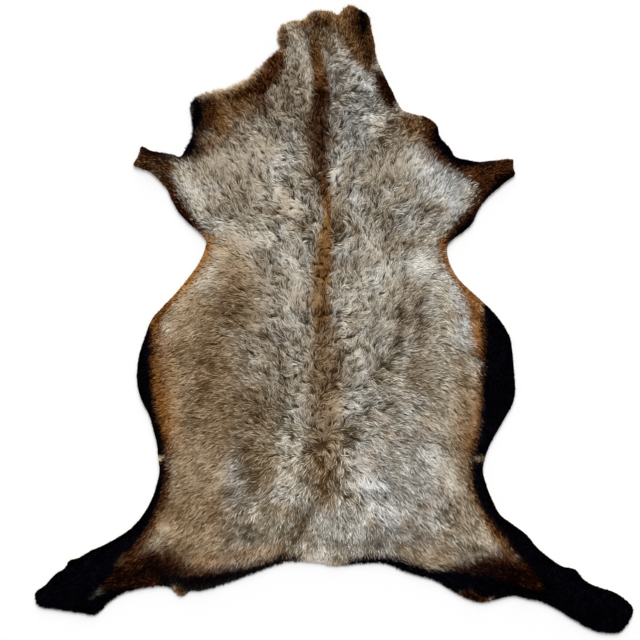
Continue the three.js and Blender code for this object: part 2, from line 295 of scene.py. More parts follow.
# markings of the coat: how soft the edge is, how strong the tint, and middle lines as x, y, half width
markings = {
    "silver": [  # beside the neck, down the right side and over the rump
        (30, 0.8, [(40, 400, 10), (60, 350, 20), (50, 300, 28), (35, 240, 18), (40, 190, 14)]),
        (25, 0.9, [(140, 250, 16), (190, 200, 22), (195, 165, 12)]),
        (20, 0.9, [(180, 80, 12), (195, 60, 12), (207, 10, 12), (206, -40, 12)]),
        (40, 0.6, [(120, 160, 24), (165, 160, 26), (160, 215, 22)]),
        (34, 0.5, [(135, 85, 20), (165, 70, 20)]), (34, 0.6, [(35, -110, 18), (35, -140, 12)]),
        (50, 0.7, [(-10, -270, 30), (20, -310, 34), (80, -335, 26), (140, -335, 22)]),
        (50, 0.6, [(35, -110, 18), (80, -130, 26), (140, -230, 24)]), (40, 0.9, [(-148, -215, 24), (-148, -272, 22)]),
        (34, 0.9, [(60, -200, 24), (80, -250, 34), (95, -300, 28)]),
        (14, 0.9, [(72, 304, 8), (86, 296, 8)]), (40, 0.7, [(140, -190, 34), (150, -280, 38), (20, -320, 24)]),
    ],
    "taupe": [  # warm clouds over the left side, the line of the back and parts of the right side
        (50, 1, [(-205, 55, 20), (-195, 0, 46), (-185, -70, 64), (-178, -140, 66), (-186, -210, 44), (-198, -290, 56),
            (-200, -340, 52)]),
        (50, 0.95, [(-145, 100, 30), (-130, 45, 38), (-120, 0, 30)]),
        (50, 0.6, [(-170, 240, 30), (-120, 225, 34), (-140, 180, 30)]),
        (40, 0.65, [(-104, 85, 24), (-85, 30, 16)]), (20, 0.7, [(-10, 114, 10), (14, 118, 9), (38, 243, 9)]),
        (40, 0.45, [(-85, -50, 22), (-60, -90, 18)], [(208, -250, 14), (205, -290, 22), (235, -325, 20)]),
        (24, 0.65, [(-26, 310, 9), (-26, 260, 10), (-16, 160, 9)]),
        (40, 0.85, [(-105, -120, 32), (-110, -180, 36), (-95, -230, 24)], [(208, -90, 16), (205, -140, 24),
            (203, -180, 22), (212, -230, 14)]),
        (34, 0.9, [(-2, -20, 25), (0, -80, 34), (0, -150, 28), (-5, -220, 26), (0, -270, 18)]),
        (40, 0.5, [(120, 45, 24), (135, -15, 26)]),
        (22, 0.8, [(118, -345, 12), (150, -358, 16), (185, -356, 18)]),
        (20, 0.75, [(-150, -352, 12), (-110, -345, 10), (-70, -342, 10)]),
        (34, 0.45, [(65, 215, 22), (110, 240, 22)]), (26, 0.65, [(-60, 320, 18), (-55, 380, 12)]),
        (24, 0.9, [(-5, 432, 18), (8, 408, 10)]),
        (20, 0.8, [(126, 280, 18), (148, 266, 12)]),
    ],
    "rust": [  # line of the back, neck lobes, ear flaps, forelegs and thighs
        (8, 0.95, [(-19, 430, 6), (-15, 408, 9), (-12, 390, 9), (-8, 362, 12), (-4, 335, 13)]),
        (16, 0.8, [(-6, 335, 16), (-10, 300, 18), (-10, 260, 17), (-7, 230, 14)]),
        (8, 1, [(-1, 200, 8), (2, 180, 8), (4, 158, 6), (1, 135, 9), (-4, 105, 12), (-6, 70, 14), (-7, 35, 15),
            (-7, 0, 15)]),
        (18, 0.55, [(-4, -30, 14), (2, -80, 16), (5, -130, 10), (4, -180, 8)]),
        (9, 0.9, [(-64, 440, 7), (-65, 415, 8), (-64, 396, 6)]),
        (12, 0.95, [(-45, 446, 6), (-28, 446, 9), (0, 452, 13), (20, 448, 13), (26, 436, 10)], [(-90, 362, 16),
            (-110, 340, 20), (-135, 326, 22), (-165, 318, 22)], [(118, 298, 9), (140, 292, 13), (152, 276, 8)]),
        (11, 1, [(38, 460, 18), (38, 436, 20), (50, 412, 20), (60, 392, 14), (66, 378, 7)]),
        (9, 1, [(64, 452, 9), (70, 425, 9), (72, 400, 8)]),
        (26, 0.75, [(-152, 302, 16), (-120, 310, 19), (-95, 320, 15)]),
        (18, 0.85, [(-160, 300, 24), (-150, 285, 16), (-175, 262, 10)]),
        (10, 0.9, [(-240, 230, 15), (-262, 238, 18), (-284, 246, 14)]),
        (12, 0.85, [(-238, -228, 5), (-240, -258, 8), (-246, -288, 9), (-258, -314, 9), (-272, -336, 10)]),
        (8, 0.9, [(213, -222, 4), (217, -255, 4), (234, -290, 5), (253, -314, 8), (268, -338, 9), (280, -354, 6)]),
        (14, 0.9, [(-274, -338, 8), (-288, -350, 13), (-304, -362, 9)]),
        (5, 0.95, [(-219, -409, 9)]),
    ],
    "ginger": [  # line of the back and both side edges
        (16, 0.4, [(-185, -360, 8), (-140, -358, 8), (-60, -348, 6)]),
        (6, 0.55, [(-16, 408, 5), (-10, 385, 8), (-5, 362, 10), (-5, 338, 10)]),
        (10, 0.8, [(-4, 215, 6), (2, 185, 7), (4, 155, 6), (3, 110, 8), (1, 60, 7)]),
        (14, 0.6, [(-168, 308, 12), (-154, 290, 11)]),
        (34, 0.25, [(-128, 72, 16), (-150, 40, 16), (-147, 0, 14)]),
        (24, 0.65, [(-242, -35, 11), (-240, -60, 13), (-230, -160, 13), (-230, -200, 8)]),
        (6, 0.95, [(-176, 122, 10), (-181, 100, 11), (-194, 76, 10), (-213, 53, 9), (-233, 31, 8), (-250, 9, 10),
            (-256, -12, 9)], [(177, 119, 8), (182, 97, 10), (193, 76, 10), (208, 53, 9), (221, 29, 9), (228, 2, 10),
            (231, -22, 12), (232, -50, 9)]),
        (14, 1, [(-256, -20, 8), (-256, -60, 10), (-254, -90, 12)]),
        (8, 0.95, [(-252, -100, 11), (-248, -120, 14), (-244, -150, 14), (-240, -178, 9), (-238, -200, 5)]),
        (5, 0.9, [(226, 30, 8), (238, 22, 6)]), (28, 0.3, [(218, -100, 6), (210, -145, 12), (208, -190, 10)]),
        (9, 0.8, [(232, -78, 5), (226, -145, 8), (220, -172, 9), (214, -198, 6)]),
        (10, 0.5, [(238, -295, 4), (268, -335, 7)]),
    ],
    "chocolate": [  # line of the back, dark edges, forelegs and thighs
        (10, 0.85, [(-4, 340, 10), (-8, 314, 14), (-8, 285, 14), (-8, 262, 13), (-6, 235, 11), (-5, 210, 10),
            (-4, 194, 8)]),
        (6, 0.7, [(-60, 432, 5), (-59, 412, 4)]), (7, 0.85, [(-30, 440, 4), (-24, 424, 3)]),
        (6, 0.95, [(-13, 454, 7), (-10, 440, 7), (4, 446, 5)], [(238, 8, 4), (239, -20, 5), (237, -70, 5),
            (235, -130, 5), (231, -160, 5), (225, -185, 6), (220, -215, 6), (222, -240, 5), (230, -268, 5),
            (244, -295, 5), (264, -322, 6), (290, -346, 8)]),
        (14, 0.8, [(48, 458, 12), (56, 432, 14), (63, 410, 12), (67, 392, 8)]),
        (8, 1, [(-68, 406, 5), (-72, 390, 14), (-79, 370, 16), (-96, 350, 13), (-118, 340, 9),
            (-145, 331, 6)], [(214, 228, 15), (240, 214, 21), (262, 222, 18), (286, 230, 16)], [(-290, -396, 10),
            (-256, -392, 11), (-238, -394, 7)]),
        (9, 0.85, [(-97, 345, 9), (-91, 325, 8), (-88, 306, 6)]),
        (9, 1, [(77, 370, 6), (86, 352, 13), (95, 331, 11), (103, 317, 5)]),
        (16, 0.9, [(-180, 320, 20), (-180, 300, 18), (-192, 275, 13), (-193, 255, 17), (-212, 246, 10)]),
        (12, 1, [(152, 300, 9), (157, 290, 11), (163, 272, 17), (180, 249, 17), (204, 232, 15)]),
        (8, 0.8, [(-238, 228, 13), (-258, 236, 20), (-286, 244, 16)]),
        (7, 1, [(-241, 206, 13), (-231, 182, 14), (-215, 160, 13), (-199, 142, 10), (-186, 131, 5)], [(250, 200, 16),
            (238, 180, 16), (228, 160, 15), (212, 145, 15), (197, 131, 12), (187, 118, 8)]),
        (9, 0.95, [(-263, -14, 6), (-263, -40, 10), (-265, -90, 9), (-261, -120, 8), (-249, -175, 7),
            (-241, -205, 11), (-244, -235, 10), (-247, -262, 12), (-257, -285, 11), (-267, -310, 12),
            (-294, -348, 14)]),
        (4, 0.85, [(228, -57, 4), (238, -54, 4)]),
        (18, 1, [(-226, -370, 18), (-238, -358, 16), (-252, -366, 26), (-284, -378, 28), (-318, -392, 24)]),
        (14, 0.9, [(-240, -378, 16), (-219, -380, 15), (-203, -385, 19), (-172, -384, 15), (-140, -378, 11),
            (-108, -371, 8), (-70, -359, 7), (-40, -356, 5)]),
        (26, 1, [(190, -382, 14), (228, -376, 22), (264, -372, 28), (295, -384, 32), (325, -402, 26)]),
        (14, 0.7, [(28, -363, 3), (60, -360, 8), (100, -364, 11), (140, -374, 12)]),
        (6, 1, [(214, -412, 12), (235, -416, 12)]),
    ],
    "black": [  # belly, hind legs and the dark rim of ear flaps and forelegs
        (7, 1, [(56, 460, 6), (58, 445, 7), (57, 432, 5)]), (6, 0.6, [(80, 366, 4), (92, 346, 7), (100, 328, 5)]),
        (12, 1, [(-192, 323, 10), (-192, 300, 9), (-200, 282, 7), (-200, 262, 9), (-211, 250, 9)]),
        (8, 1, [(166, 285, 5), (172, 270, 11), (186, 254, 13), (202, 240, 11), (226, 238, 7)]),
        (6, 0.85, [(-218, 246, 8), (-240, 248, 8), (-272, 256, 7)], [(200, 244, 8), (224, 238, 8), (250, 236, 5)]),
        (6, 0.7, [(-230, 178, 6), (-215, 156, 6), (-198, 140, 5)]),
        (8, 0.95, [(282, 216, 7), (262, 204, 8), (246, 180, 10), (230, 152, 12), (210, 136, 9), (190, 120, 4)]),
        (4, 1, [(-262, 4, 3), (-272, -20, 10), (-280, -50, 17), (-284, -85, 22), (-281, -115, 22), (-271, -145, 16),
            (-262, -172, 15), (-255, -200, 14), (-254, -225, 14), (-257, -250, 14), (-266, -275, 15),
            (-284, -300, 21), (-308, -322, 28)], [(247, 14, 11), (253, 2, 15), (262, -25, 21), (263, -60, 25),
            (263, -95, 27), (261, -125, 25), (254, -150, 20), (246, -172, 15), (238, -190, 12), (233, -206, 9)]),
        (4, 0.9, [(-268, -50, 5), (-258, -46, 4)]),
        (5, 1, [(232, -218, 11), (233, -240, 12), (239, -260, 13), (249, -279, 13), (263, -296, 14), (283, -315, 17),
            (304, -336, 22), (328, -358, 26), (356, -380, 36), (400, -419, 47), (444, -446, 45)]),
        (18, 0.75, [(-256, -368, 18), (-226, -384, 16)]), (18, 0.55, [(-270, -382, 14), (-306, -392, 16)]),
        (9, 1, [(-322, -338, 24), (-344, -362, 32), (-372, -390, 36), (-402, -408, 30),
            (-432, -418, 20)], [(-286, -402, 4), (-330, -418, 13), (-348, -430, 16), (-376, -430, 18)]),
        (9, 0.8, [(-322, -404, 7), (-344, -408, 8)]),
        (9, 0.95, [(-240, -388, 12), (-219, -390, 9), (-202, -396, 15), (-172, -392, 12), (-108, -377, 7),
            (-70, -363, 6), (-45, -359, 5)]),
        (14, 0.75, [(188, -384, 12), (240, -380, 17), (275, -378, 14)]),
        (6, 1, [(40, -362, 4), (80, -360, 8), (105, -366, 9), (140, -380, 11), (172, -388, 15), (198, -393, 17),
            (220, -392, 13), (242, -398, 18), (272, -406, 14), (305, -413, 12), (345, -428, 17), (390, -450, 23)]),
    ],
    "cream": [  # small tufts at the notches and the golden fringe of the neck
        (3, 0.9, [(-180, 119, 4)], [(-252, -207, 4), (-243, -208, 3)]), (3, 0.8, [(180, 100, 4)]),
        (4, 0.5, [(224, -209, 2), (234, -208, 3)]),
        (6, 0.42, [(-92, 382, 2), (-104, 370, 3), (-116, 359, 4), (-140, 348, 4), (-164, 341, 4), (-188, 335, 3)]),
        (5, 0.22, [(-58, 444, 2), (-34, 449, 2), (-17, 461, 3), (6, 462, 3), (20, 457, 2), (36, 470, 2)]),
    ],
}
tints = list(markings)
tintAttributes = {"paleTints": ["silver", "taupe", "cream"], "brownTints": ["rust", "ginger", "chocolate"],
                  "darkTints": ["black"]}
clouds = {"silver": (21, 51), "taupe": (26, 52)}  # faint ones over the whole coat: size, seed

# a place past the edge, or close to it, has the colour of the place just inside
insideBy = 3.0
pullIn = np.maximum(insideBy - depthMap, 0)
innerX, innerY = mapX - outXMap * pullIn, mapY - outYMap * pullIn


def chainCover(points, soft):
    # 1 inside the chain's half width, down to 0 over the soft edge
    cover = np.zeros(mapX.shape)
    pairs = list(zip(points[:-1], points[1:])) if len(points) > 1 else [(points[0], points[0])]
    for (ax, ay, ar), (bx, by, br) in pairs:
        away, t = awayFromLine(innerX, innerY, ax, ay, bx, by)
        cover = np.maximum(cover, 1 - ease(away - (ar + (br - ar) * t), -soft / 2, soft / 2))
    return cover


def mapTints():
    maps = {}
    for tint, rows in markings.items():
        maps[tint] = np.zeros(mapX.shape)
        for soft, strength, *lines in rows:
            for points in lines:
                maps[tint] = np.maximum(maps[tint], chainCover(points, soft) * strength)
    for tint, (size, seed) in clouds.items():
        maps[tint] = np.maximum(maps[tint], 0.5 * ease(mottle(size, seed), 0.0, 0.8))
    return maps


tintMaps = mapTints()

# lighter and darker places in the coat: change of tone, soft edge, and middle lines as x, y, half width
brightAndDark = [
    (0.6, 4, [(49, -46, 4), (54, -64, 5)]), (0.45, 8, [(17, 222, 5), (20, 205, 8)]),
    (0.42, 24, [(12, -140, 12), (4, -165, 13)]),
    (0.4, 10, [(42, 182, 7), (50, 172, 6)]),
    (0.4, 12, [(40, -212, 5), (58, -206, 8), (60, -240, 9), (85, -250, 8), (45, -245, 5)]),
    (0.38, 14, [(-74, 184, 10), (-45, 170, 13)]), (0.36, 34, [(-168, 104, 16), (-125, 100, 18), (-98, 60, 10)]),
    (0.35, 12, [(14, -118, 4), (18, -150, 5)]),
    (0.34, 8, [(-46, 430, 5), (-38, 412, 8), (-33, 395, 7), (-26, 368, 5), (-24, 345, 5), (-24, 322, 4)]),
    (0.34, 14, [(-26, 23, 8)]),
    (0.34, 16, [(-155, 132, 7), (-122, 122, 11), (-85, 122, 9)]),
    (0.34, 24, [(60, 222, 11), (122, 236, 17)], [(-156, -240, 12)]),
    (0.32, 20, [(170, 205, 12), (195, 190, 18), (185, 162, 12)]),
    (0.3, 12, [(14, 428, 4), (24, 405, 8), (38, 385, 9), (55, 362, 10), (70, 348, 7)], [(130, 252, 9),
        (142, 240, 8)]),
    (0.3, 18, [(128, 92, 12), (155, 82, 14)], [(-90, 250, 9)]),
    (0.3, 20, [(-175, 240, 12), (-125, 238, 14), (-100, 262, 12), (-70, 262, 12)], [(160, -200, 11), (180, -228, 13),
        (190, -250, 7)]),
    (0.28, 16, [(-208, 42, 10), (-224, 14, 9), (-234, -12, 8)]),
    (0.26, 8, [(-28, 395, 4), (-26, 372, 4), (-25, 348, 4), (-31, 322, 4)]),
    (0.26, 10, [(72, 304, 7), (86, 297, 7)]),
    (0.26, 16, [(-205, 212, 8), (-198, 190, 13), (-186, 162, 11)], [(-54, 176, 12)]),
    (0.26, 18, [(-250, -312, 6), (-235, -312, 12)]), (0.26, 22, [(-98, 28, 13), (-66, 24, 9)]),
    (0.26, 24, [(-198, 45, 16), (-204, 5, 13)]),
    (0.25, 14, [(48, -126, 11), (35, -145, 6)], [(-168, -250, 9)]), (0.24, 8, [(214, 200, 6)]),
    (0.24, 12, [(193, 74, 5), (210, 50, 7), (226, 20, 5), (226, -31, 6)], [(-183, 102, 5), (-204, 68, 7),
        (-222, 44, 6)]),
    (0.24, 14, [(-50, 304, 9)], [(30, 246, 10)]), (0.24, 20, [(118, 230, 10), (150, 224, 12)]),
    (0.24, 22, [(-55, 75, 16), (-48, 40, 18), (-60, 10, 14)]),
    (0.24, 30, [(-190, 60, 14), (-150, 92, 16), (-120, 60, 14)]), (0.22, 12, [(112, 320, 6)]),
    (0.22, 14, [(14, 384, 9)], [(157, -348, 9), (-97, -350, 8)]),
    (0.22, 16, [(-62, -186, 9), (-38, -184, 9)]), (0.22, 20, [(75, -285, 12), (108, -298, 12)]),
    (0.22, 24, [(-56, 98, 14)]),
    (0.2, 14, [(68, 302, 7)], [(-80, 350, 7), (-75, 328, 7)]),
    (0.2, 16, [(-230, -70, 8), (-224, -110, 10), (-222, -150, 10), (-222, -185, 8)]),
    (0.2, 18, [(-104, 0, 12)]),
    (0.2, 24, [(80, 70, 12), (122, 74, 14), (172, 60, 12)], [(65, 45, 12), (112, 36, 12)]),
    (0.2, 34, [(-185, -240, 22)]), (0.18, 14, [(185, 66, 8), (198, 35, 12), (206, 5, 10), (208, -25, 9)]),
    (0.18, 18, [(-172, 181, 10), (-205, 196, 8)]),
    (0.18, 20, [(158, 190, 16)]), (0.18, 24, [(-157, 60, 18)]), (0.18, 25, [(-195, -212, 15), (-160, -215, 10)]),
    (0.16, 10, [(-196, 331, 7), (-19, 463, 6)]),
    (0.16, 14, [(-18, 28, 7)], [(13, -157, 6)], [(-61, -300, 7), (12, 199, 5), (-30, 21, 6), (97, -55, 7)]),
    (0.16, 16, [(232, -320, 10), (250, -334, 8)]),
    (0.16, 26, [(205, -120, 10), (190, -160, 16), (160, -150, 16)]), (0.15, 12, [(-87, 60, 8), (211, -48, 7)]),
    (0.15, 14, [(-76, -202, 8)]),
    (0.14, 12, [(31, 75, 7)], [(12, 199, 5)]),
    (0.14, 14, [(-103, -10, 8)], [(163, -180, 8)], [(66, 145, 8)], [(60, 208, 9), (38, 240, 8)], [(10, 202, 5),
        (-66, 307, 8)], [(-63, -294, 7), (13, 195, 5), (-30, 21, 6), (-75, -279, 7), (85, 145, 7), (67, 154, 7)]),
    (0.14, 16, [(-205, -16, 10)], [(-90, 115, 8), (-130, 124, 8)]), (0.14, 20, [(-73, 261, 8), (-103, 264, 8)]),
    (0.14, 26, [(130, 66, 16)]),
    (0.13, 14, [(99, -55, 8), (15, 192, 5), (30, 180, 6), (130, 12, 7), (45, -348, 5), (-84, -199, 7)]),
    (0.12, 8, [(228, -50, 6), (222, -110, 8), (216, -180, 8)]),
    (0.12, 10, [(229, -90, 6), (226, -150, 8)], [(-256, -40, 6), (-251, -100, 6), (-222, -105, 9), (-222, -140, 7)]),
    (0.12, 12, [(-57, 165, 8), (-91, 252, 8), (172, 169, 8), (-24, 22, 6)], [(-24, 66, 6), (-87, 58, 6), (28, 183, 6),
        (130, 13, 7), (54, -352, 5), (-61, -334, 6)]),
    (0.12, 14, [(144, -67, 8)], [(-76, -34, 8), (36, 262, 8)], [(36, 184, 8), (193, 183, 7), (15, -159, 6),
        (52, -342, 6), (139, 234, 8)], [(-54, 159, 7), (-96, 255, 8), (145, -265, 8), (36, 253, 7), (-76, -277, 7),
        (-6, -265, 6)], [(-85, 60, 7), (-91, 387, 6), (-70, -54, 6), (-103, -235, 7), (-96, 3, 6)]),
    (0.12, 20, [(-5, -300, 10)]), (0.12, 30, [(-165, 210, 30), (-110, 225, 26)]), (0.12, 40, [(-190, -330, 30)]),
    (0.11, 50, [(-85, 240, 22), (-57, 170, 26), (-72, 110, 22)]),
    (0.1, 40, [(-50, 315, 14), (-24, 362, 12), (10, 385, 14)]),
    (0.09, 30, [(-60, 395, 14), (-48, 350, 18), (-42, 300, 16)]),
    (0.08, 40, [(-170, -225, 26)]), (0.07, 30, [(20, 120, 18), (20, 90, 18)]),
    (0.06, 40, [(-180, 195, 24), (-120, 190, 20)]),
    (-0.04, 50, [(-120, -130, 46), (-110, -250, 50)]), (-0.06, 30, [(150, 170, 18), (190, 120, 14)]),
    (-0.07, 40, [(-130, -325, 24), (0, -315, 26), (130, -325, 30)]),
    (-0.1, 30, [(190, -300, 20)]), (-0.1, 40, [(-5, 370, 50), (-5, 300, 50)]),
    (-0.12, 8, [(-198, 76, 6), (-214, 55, 6)]),
    (-0.12, 10, [(229, -343, 8), (-99, -348, 6), (-31, -39, 6), (-148, -343, 7), (111, 268, 6), (-18, 148, 5)]),
    (-0.12, 12, [(174, -94, 8), (126, -154, 8), (147, -306, 8)]),
    (-0.12, 14, [(109, 274, 8)]), (-0.14, 12, [(189, 219, 8), (226, -337, 8)], [(-118, -289, 8), (-261, -160, 6)]),
    (-0.14, 14, [(109, -348, 9)]),
    (-0.14, 18, [(-62, -36, 10), (-75, -72, 9)]), (-0.15, 40, [(110, 0, 24), (110, -60, 24), (150, -100, 20)]),
    (-0.16, 8, [(222, 10, 5), (232, 5, 5), (-246, 12, 5), (-252, 0, 5), (-243, -180, 6)]),
    (-0.16, 12, [(105, -102, 7), (61, -285, 7), (88, -154, 7), (69, 106, 7)], [(-222, -340, 8)], [(-262, 240, 16)]),
    (-0.18, 7, [(-17, 408, 4), (-13, 385, 6), (-8, 362, 9), (-5, 340, 9)]),
    (-0.18, 24, [(-20, -215, 14), (-5, -255, 16)]), (-0.18, 30, [(-185, -100, 18), (-170, -60, 12)]),
    (-0.2, 10, [(-64, -366, 7), (186, 112, 6), (226, 10, 6)]),
    (-0.2, 14, [(54, 364, 9)], [(215, -342, 8), (235, -345, 6)]), (-0.2, 18, [(-60, 76, 8)], [(-187, -120, 10)]),
    (-0.2, 20, [(-80, 286, 10)]),
    (-0.2, 22, [(195, -272, 10), (180, -290, 8)]), (-0.22, 10, [(-64, 150, 5)]),
    (-0.22, 12, [(-50, 332, 7), (-48, 302, 6)], [(292, -366, 8), (308, -382, 9), (224, -414, 8)]),
    (-0.22, 16, [(-182, -100, 9)], [(66, 336, 8)]),
    (-0.22, 24, [(-152, 22, 14), (-142, -10, 8)], [(90, -110, 14), (110, -150, 12)]),
    (-0.22, 30, [(-100, -145, 18)], [(120, 290, 20)]), (-0.24, 16, [(-38, -24, 7)]),
    (-0.25, 16, [(145, 0, 6), (144, -30, 6)]),
    (-0.25, 35, [(-118, -190, 18), (-112, -250, 14)]),
    (-0.26, 9, [(222, -414, 6), (-233, -406, 7), (-313, -418, 8), (-67, -368, 6), (-18, 146, 5)]),
    (-0.26, 10, [(94, -13, 6), (104, -96, 7), (126, 141, 6), (-82, 211, 6), (-60, -156, 6), (57, -283, 6)]),
    (-0.26, 18, [(-262, -378, 22), (-318, -392, 20)]),
    (-0.28, 8, [(-76, 68, 6)]), (-0.28, 14, [(49, 328, 8)]), (-0.28, 18, [(75, 192, 10), (86, 165, 6)]),
    (-0.3, 8, [(-27, 180, 4)], [(-121, 272, 5)]),
    (-0.3, 10, [(52, 345, 5), (34, 338, 5)]), (-0.3, 12, [(33, -232, 6)]),
    (-0.3, 18, [(282, -384, 16), (322, -400, 16)]),
    (-0.3, 20, [(38, -20, 10)]), (-0.32, 12, [(44, -175, 7), (30, -165, 5)]),
    (-0.32, 24, [(-37, -240, 9), (-38, -300, 14), (-46, -335, 10)]),
    (-0.32, 26, [(22, -347, 16), (75, -337, 14)]), (-0.35, 6, [(60, 374, 4)]), (-0.36, 14, [(-20, -342, 9)]),
    (-0.38, 8, [(50, -36, 6), (62, -42, 4)]),
    (-0.4, 10, [(-92, -24, 7)], [(24, -42, 6), (22, -62, 6), (12, -100, 5)]), (-0.4, 14, [(48, 134, 7)]),
    (-0.42, 18, [(104, 302, 7), (90, 270, 11)]),
    (-0.44, 26, [(-112, -318, 16)]), (-0.5, 14, [(-27, 152, 7), (-36, 140, 7)]), (-0.5, 16, [(38, -184, 9)]),
    (-0.65, 16, [(18, 158, 10), (18, 132, 11)]),
]


toneLook = {  # 0 is the dark colour of a tint, 0.5 its middle one and 1 its light one
    "usual": 0.55,
    "patches": (34, 0.10),  # size and strength
    "flecks": (13, 0.08),
    "neckFlecks": 0.5,  # how much stronger the flecks are on the neck
}


def mapTone():
    (patchSize, patchStrength), (fleckSize, fleckStrength) = toneLook["patches"], toneLook["flecks"]
    tone = toneLook["usual"] + patchStrength * mottle(patchSize, 5)
    tone += fleckStrength * (1 + toneLook["neckFlecks"] * ease(mapY, 120, 220)) * mottle(fleckSize, 6)
    for change, soft, *lines in brightAndDark:
        for points in lines:
            tone += change * chainCover(points, soft)
    return tone


def mapCurl():
    # 1 for tight curls beside the back, 0 for sleek hair on the flanks, the legs and the edges
    halfWidth = 92.0 + 20.0 * ease(mapY, 40, 180)
    beside = np.exp(-((mapX / halfWidth) ** 2))
    return beside * ease(mapY, -330, -120) * ease(-mapY, -470, -330) * ease(depthMap, 6, 30)


toneMap, curlMap = mapTone(), mapCurl()
sleekMap = np.clip(tintMaps["black"] + tintMaps["chocolate"] * 0.4 + tintMaps["ginger"] * 0.6, 0, 1)

hairLength = {
    "usual": 12.5,
    "curls": 0.8,  # how much longer it is in the curls beside the back
    "neck": 3.5,  # how much shorter it is on the neck
    "neckCut": 0.25,  # share taken off at the neck cut
    "sleek": 0.3,  # share taken off where the hair is sleek
    "edge": (0.62, 1.07),  # share left at a flat edge and at a furry one
}


def mapLength():
    length = hairLength["usual"] + hairLength["curls"] * curlMap - hairLength["neck"] * ease(mapY, 200, 300)
    length *= 1 - hairLength["neckCut"] * ease(mapY, 370, 430)
    atEdge = lerp(hairLength["edge"], ease(reachMap, 2, 7))
    return length * lerp((atEdge, 1), ease(depthMap, 4, 45)) * (1 - hairLength["sleek"] * sleekMap)


lengthMap = mapLength()


def mapSwirl():
    # the lie of the hair turned to and fro, gently where it is sleek and much where it curls
    swirlTurn = (math.radians(9.0), math.radians(62.0))
    wander = 0.8 * mottle(20, 31) + 0.8 * mottle(9, 32)
    heading = np.arctan2(lieXMap, lieYMap) + lerp(swirlTurn, curlMap) * wander
    return np.sin(heading), np.cos(heading)


swirlXMap, swirlYMap = mapSwirl()
print("coat maps drawn")

coatColours = {  # dark, middle and light of each tint, as seen on the hide
    "beige": ((84, 68, 44), (162, 149, 125), (250, 244, 230)),
    "silver": ((72, 68, 60), (156, 152, 144), (244, 245, 244)),
    "taupe": ((66, 42, 16), (132, 106, 74), (206, 184, 152)),
    "cream": ((120, 90, 55), (190, 165, 125), (240, 228, 200)),
    "rust": ((46, 18, 0), (112, 73, 34), (180, 146, 104)),
    "ginger": ((58, 22, 0), (126, 76, 24), (190, 140, 80)),
    "chocolate": ((8, 0, 0), (48, 20, 5), (112, 70, 38)),
    "black": ((0, 0, 0), (0, 0, 4), (15, 14, 22)),
}


def colour(rgb):
    # from screen values to Blender's linear ones
    c = np.array(rgb) / 255.0
    linear = np.where(c <= 0.04045, c / 12.92, ((c + 0.055) / 1.055) ** 2.4)
    return (*[float(v) for v in linear], 1.0)


def newMaterial(name, roughness):
    material = bpy.data.materials.new(name)
    material.use_nodes = True
    shader = material.node_tree.nodes["Principled BSDF"]
    shader.inputs["Roughness"].default_value = roughness
    return material, material.node_tree, shader


def mixColours(tree, first, second, factor):
    # each colour is a socket or a value
    mix = tree.nodes.new("ShaderNodeMix")
    mix.data_type = "RGBA"
    tree.links.new(factor, mix.inputs["Factor"])
    for socket, given in ((mix.inputs[6], first), (mix.inputs[7], second)):
        if isinstance(given, tuple):
            socket.default_value = given
        else:
            tree.links.new(given, socket)
    return mix.outputs[2]


def coatColourGroup():
    # shared by the hair and by the skin under it: tint masks and a tone in, the coat's colour out
    group = bpy.data.node_groups.new("coatColour", "ShaderNodeTree")

    def socket(name, kind, way="INPUT"):
        return group.interface.new_socket(name=name, in_out=way, socket_type="NodeSocket" + kind)

    for name in tints:
        socket(name.capitalize() + " Mask", "Float")
    socket("Tone", "Float")
    words = ("Dark", "Middle", "Light")
    for name in coatColours:
        for word, rgb in zip(words, coatColours[name]):
            socket(f"{word} {name.capitalize()}", "Color").default_value = colour(rgb)
    socket("Coat Colour", "Color", "OUTPUT")
    given, made = group.nodes.new("NodeGroupInput"), group.nodes.new("NodeGroupOutput")
    ends = []
    for word in words:
        last = given.outputs[f"{word} Beige"]
        for name in tints:
            mask, tinted = given.outputs[name.capitalize() + " Mask"], given.outputs[f"{word} {name.capitalize()}"]
            last = mixColours(group, last, tinted, mask)
        ends.append(last)
    halves = []
    for low, high in ((0.0, 0.5), (0.5, 1.0)):
        part = group.nodes.new("ShaderNodeMapRange")
        part.inputs["From Min"].default_value, part.inputs["From Max"].default_value = low, high
        group.links.new(given.outputs["Tone"], part.inputs["Value"])
        halves.append(part.outputs["Result"])
    lower = mixColours(group, ends[0], ends[1], halves[0])
    group.links.new(mixColours(group, lower, ends[2], halves[1]), made.inputs["Coat Colour"])
    return group


coatGroup = coatColourGroup()


def coatMaterial(name, roughness):
    material, tree, shader = newMaterial(name, roughness)
    shader.inputs["Specular IOR Level"].default_value = 0.01
    coat = tree.nodes.new("ShaderNodeGroup")
    coat.node_tree = coatGroup
    for name, three in tintAttributes.items():
        attribute, split = tree.nodes.new("ShaderNodeAttribute"), tree.nodes.new("ShaderNodeSeparateColor")
        attribute.attribute_name = name
        tree.links.new(attribute.outputs["Color"], split.inputs[0])
        for k, tint in enumerate(three):
            tree.links.new(split.outputs[k], coat.inputs[tint.capitalize() + " Mask"])
    tone = tree.nodes.new("ShaderNodeAttribute")
    tone.attribute_name = "tone"
    tree.links.new(tone.outputs["Fac"], coat.inputs["Tone"])
    tree.links.new(coat.outputs["Coat Colour"], shader.inputs["Base Color"])
    return material


hairMaterial = coatMaterial("lyingHair", 0.55)
underfurMaterial = coatMaterial("underfur", 0.9)


